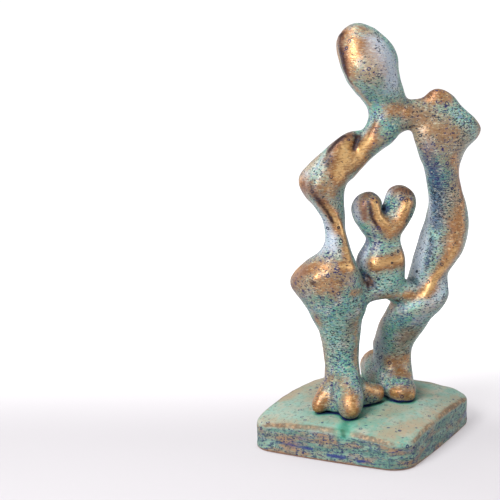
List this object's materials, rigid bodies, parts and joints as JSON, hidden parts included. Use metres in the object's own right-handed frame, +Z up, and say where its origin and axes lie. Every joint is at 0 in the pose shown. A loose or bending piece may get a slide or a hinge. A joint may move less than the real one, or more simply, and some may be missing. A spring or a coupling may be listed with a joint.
{
  "type": "annunciation sculpture",
  "caption": "Abstract sculpture of a tall bowed figure whose arms and legs frame a heart-headed child, on a low plinth with bowed sides, in mottled green and gold patina.",
  "frame": {"origin": "middle of the plinth's flat underside", "axes": "+Z up, +X along the plinth's longer side, +Y along its shorter side; the figures stand along the diagonal from -X +Y to +X -Y"},
  "size_m": [0.1094, 0.1058, 0.2371],
  "materials": {
    "figure_patina": "cast and hand-painted: turquoise and pale blue wash, dark blue specks, gold and copper rubbed on the ridges, satin",
    "plinth_patina": "cast and hand-painted: turquoise top with tan and gold smears, grey-green and violet sides, gold top edge, satin"
  },
  "bodies": {
    "root": {"figure_group": "figure_patina", "plinth": "plinth_patina"}
  },
  "joints": []
}
